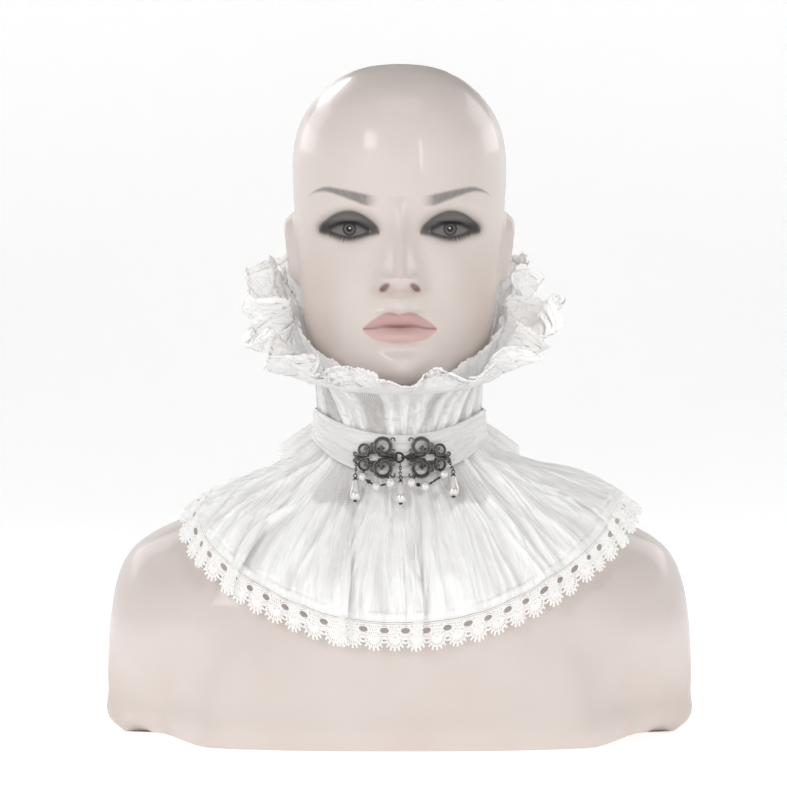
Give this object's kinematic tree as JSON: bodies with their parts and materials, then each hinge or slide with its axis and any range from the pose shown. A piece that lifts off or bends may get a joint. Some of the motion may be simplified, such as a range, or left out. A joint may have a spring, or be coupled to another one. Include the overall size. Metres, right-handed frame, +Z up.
{
  "type": "lace collar on a limbless display bust",
  "caption": "High ruffled lace collar with a pleated shoulder cape, a belt with a filigree clasp and pearl drops, on a display bust.",
  "frame": {"origin": "on the floor under the middle of the whole, at the bust's flat foot", "axes": "+Z up, the face looks along -Y, +X to the viewer's right"},
  "size_m": [0.4068, 0.261, 0.4665],
  "materials": {
    "bust": "smooth satin gloss lacquer on fibreglass",
    "cloth": "crinkled satin chiffon, white",
    "sheer": "gathered sheer chiffon over net, white",
    "lace": "matte cotton lace, white",
    "metal": "blackened gunmetal, worn on the raised edges",
    "pearl": "pearl lustre"
  },
  "bodies": {
    "collar_on_bust": {"bust": "bust", "belt": "cloth", "cape_left": "cloth", "cape_right": "cloth", "bow_knot": "cloth", "bow_loop_left": "cloth", "bow_loop_right": "cloth", "bow_tail_left": "cloth", "bow_tail_right": "cloth", "neck": "sheer", "ruff_left": "sheer", "ruff_right": "sheer", "lace_left": "lace", "lace_right": "lace", "ruff_lace_left": "lace", "ruff_lace_right": "lace", "clasp_left": "metal", "clasp_right": "metal", "clasp_eye": "metal", "clasp_hook": "metal", "hanger_left": "metal", "hanger_centre": "metal", "hanger_right": "metal", "link_12": "metal", "link_23": "metal", "link_45": "metal", "link_56": "metal", "pin_1": "metal", "pin_3": "metal", "pin_4": "metal", "pin_6": "metal", "pearl_1": "pearl", "pearl_2": "pearl", "pearl_3": "pearl", "pearl_4": "pearl", "pearl_5": "pearl", "pearl_6": "pearl"},
    "left_drop": {"drop_left": "pearl"},
    "centre_drop": {"drop_centre": "pearl"},
    "right_drop": {"drop_right": "pearl"}
  },
  "joints": [
    {"name": "left_drop_swing", "type": "hinge", "parent": "collar_on_bust", "child": "left_drop", "pos_m": [-0.0298, -0.07636, 0.1812], "axis": [0, -0.8935, 0.449], "range_deg": [-30, 6]},
    {"name": "centre_drop_swing", "type": "hinge", "parent": "collar_on_bust", "child": "centre_drop", "pos_m": [0.0006, -0.08041, 0.18], "axis": [0, -0.922, 0.3871], "range_deg": [-10, 10]},
    {"name": "right_drop_swing", "type": "hinge", "parent": "collar_on_bust", "child": "right_drop", "pos_m": [0.036, -0.0729, 0.1836], "axis": [0, -0.8777, 0.4791], "range_deg": [-8, 30]}
  ]
}
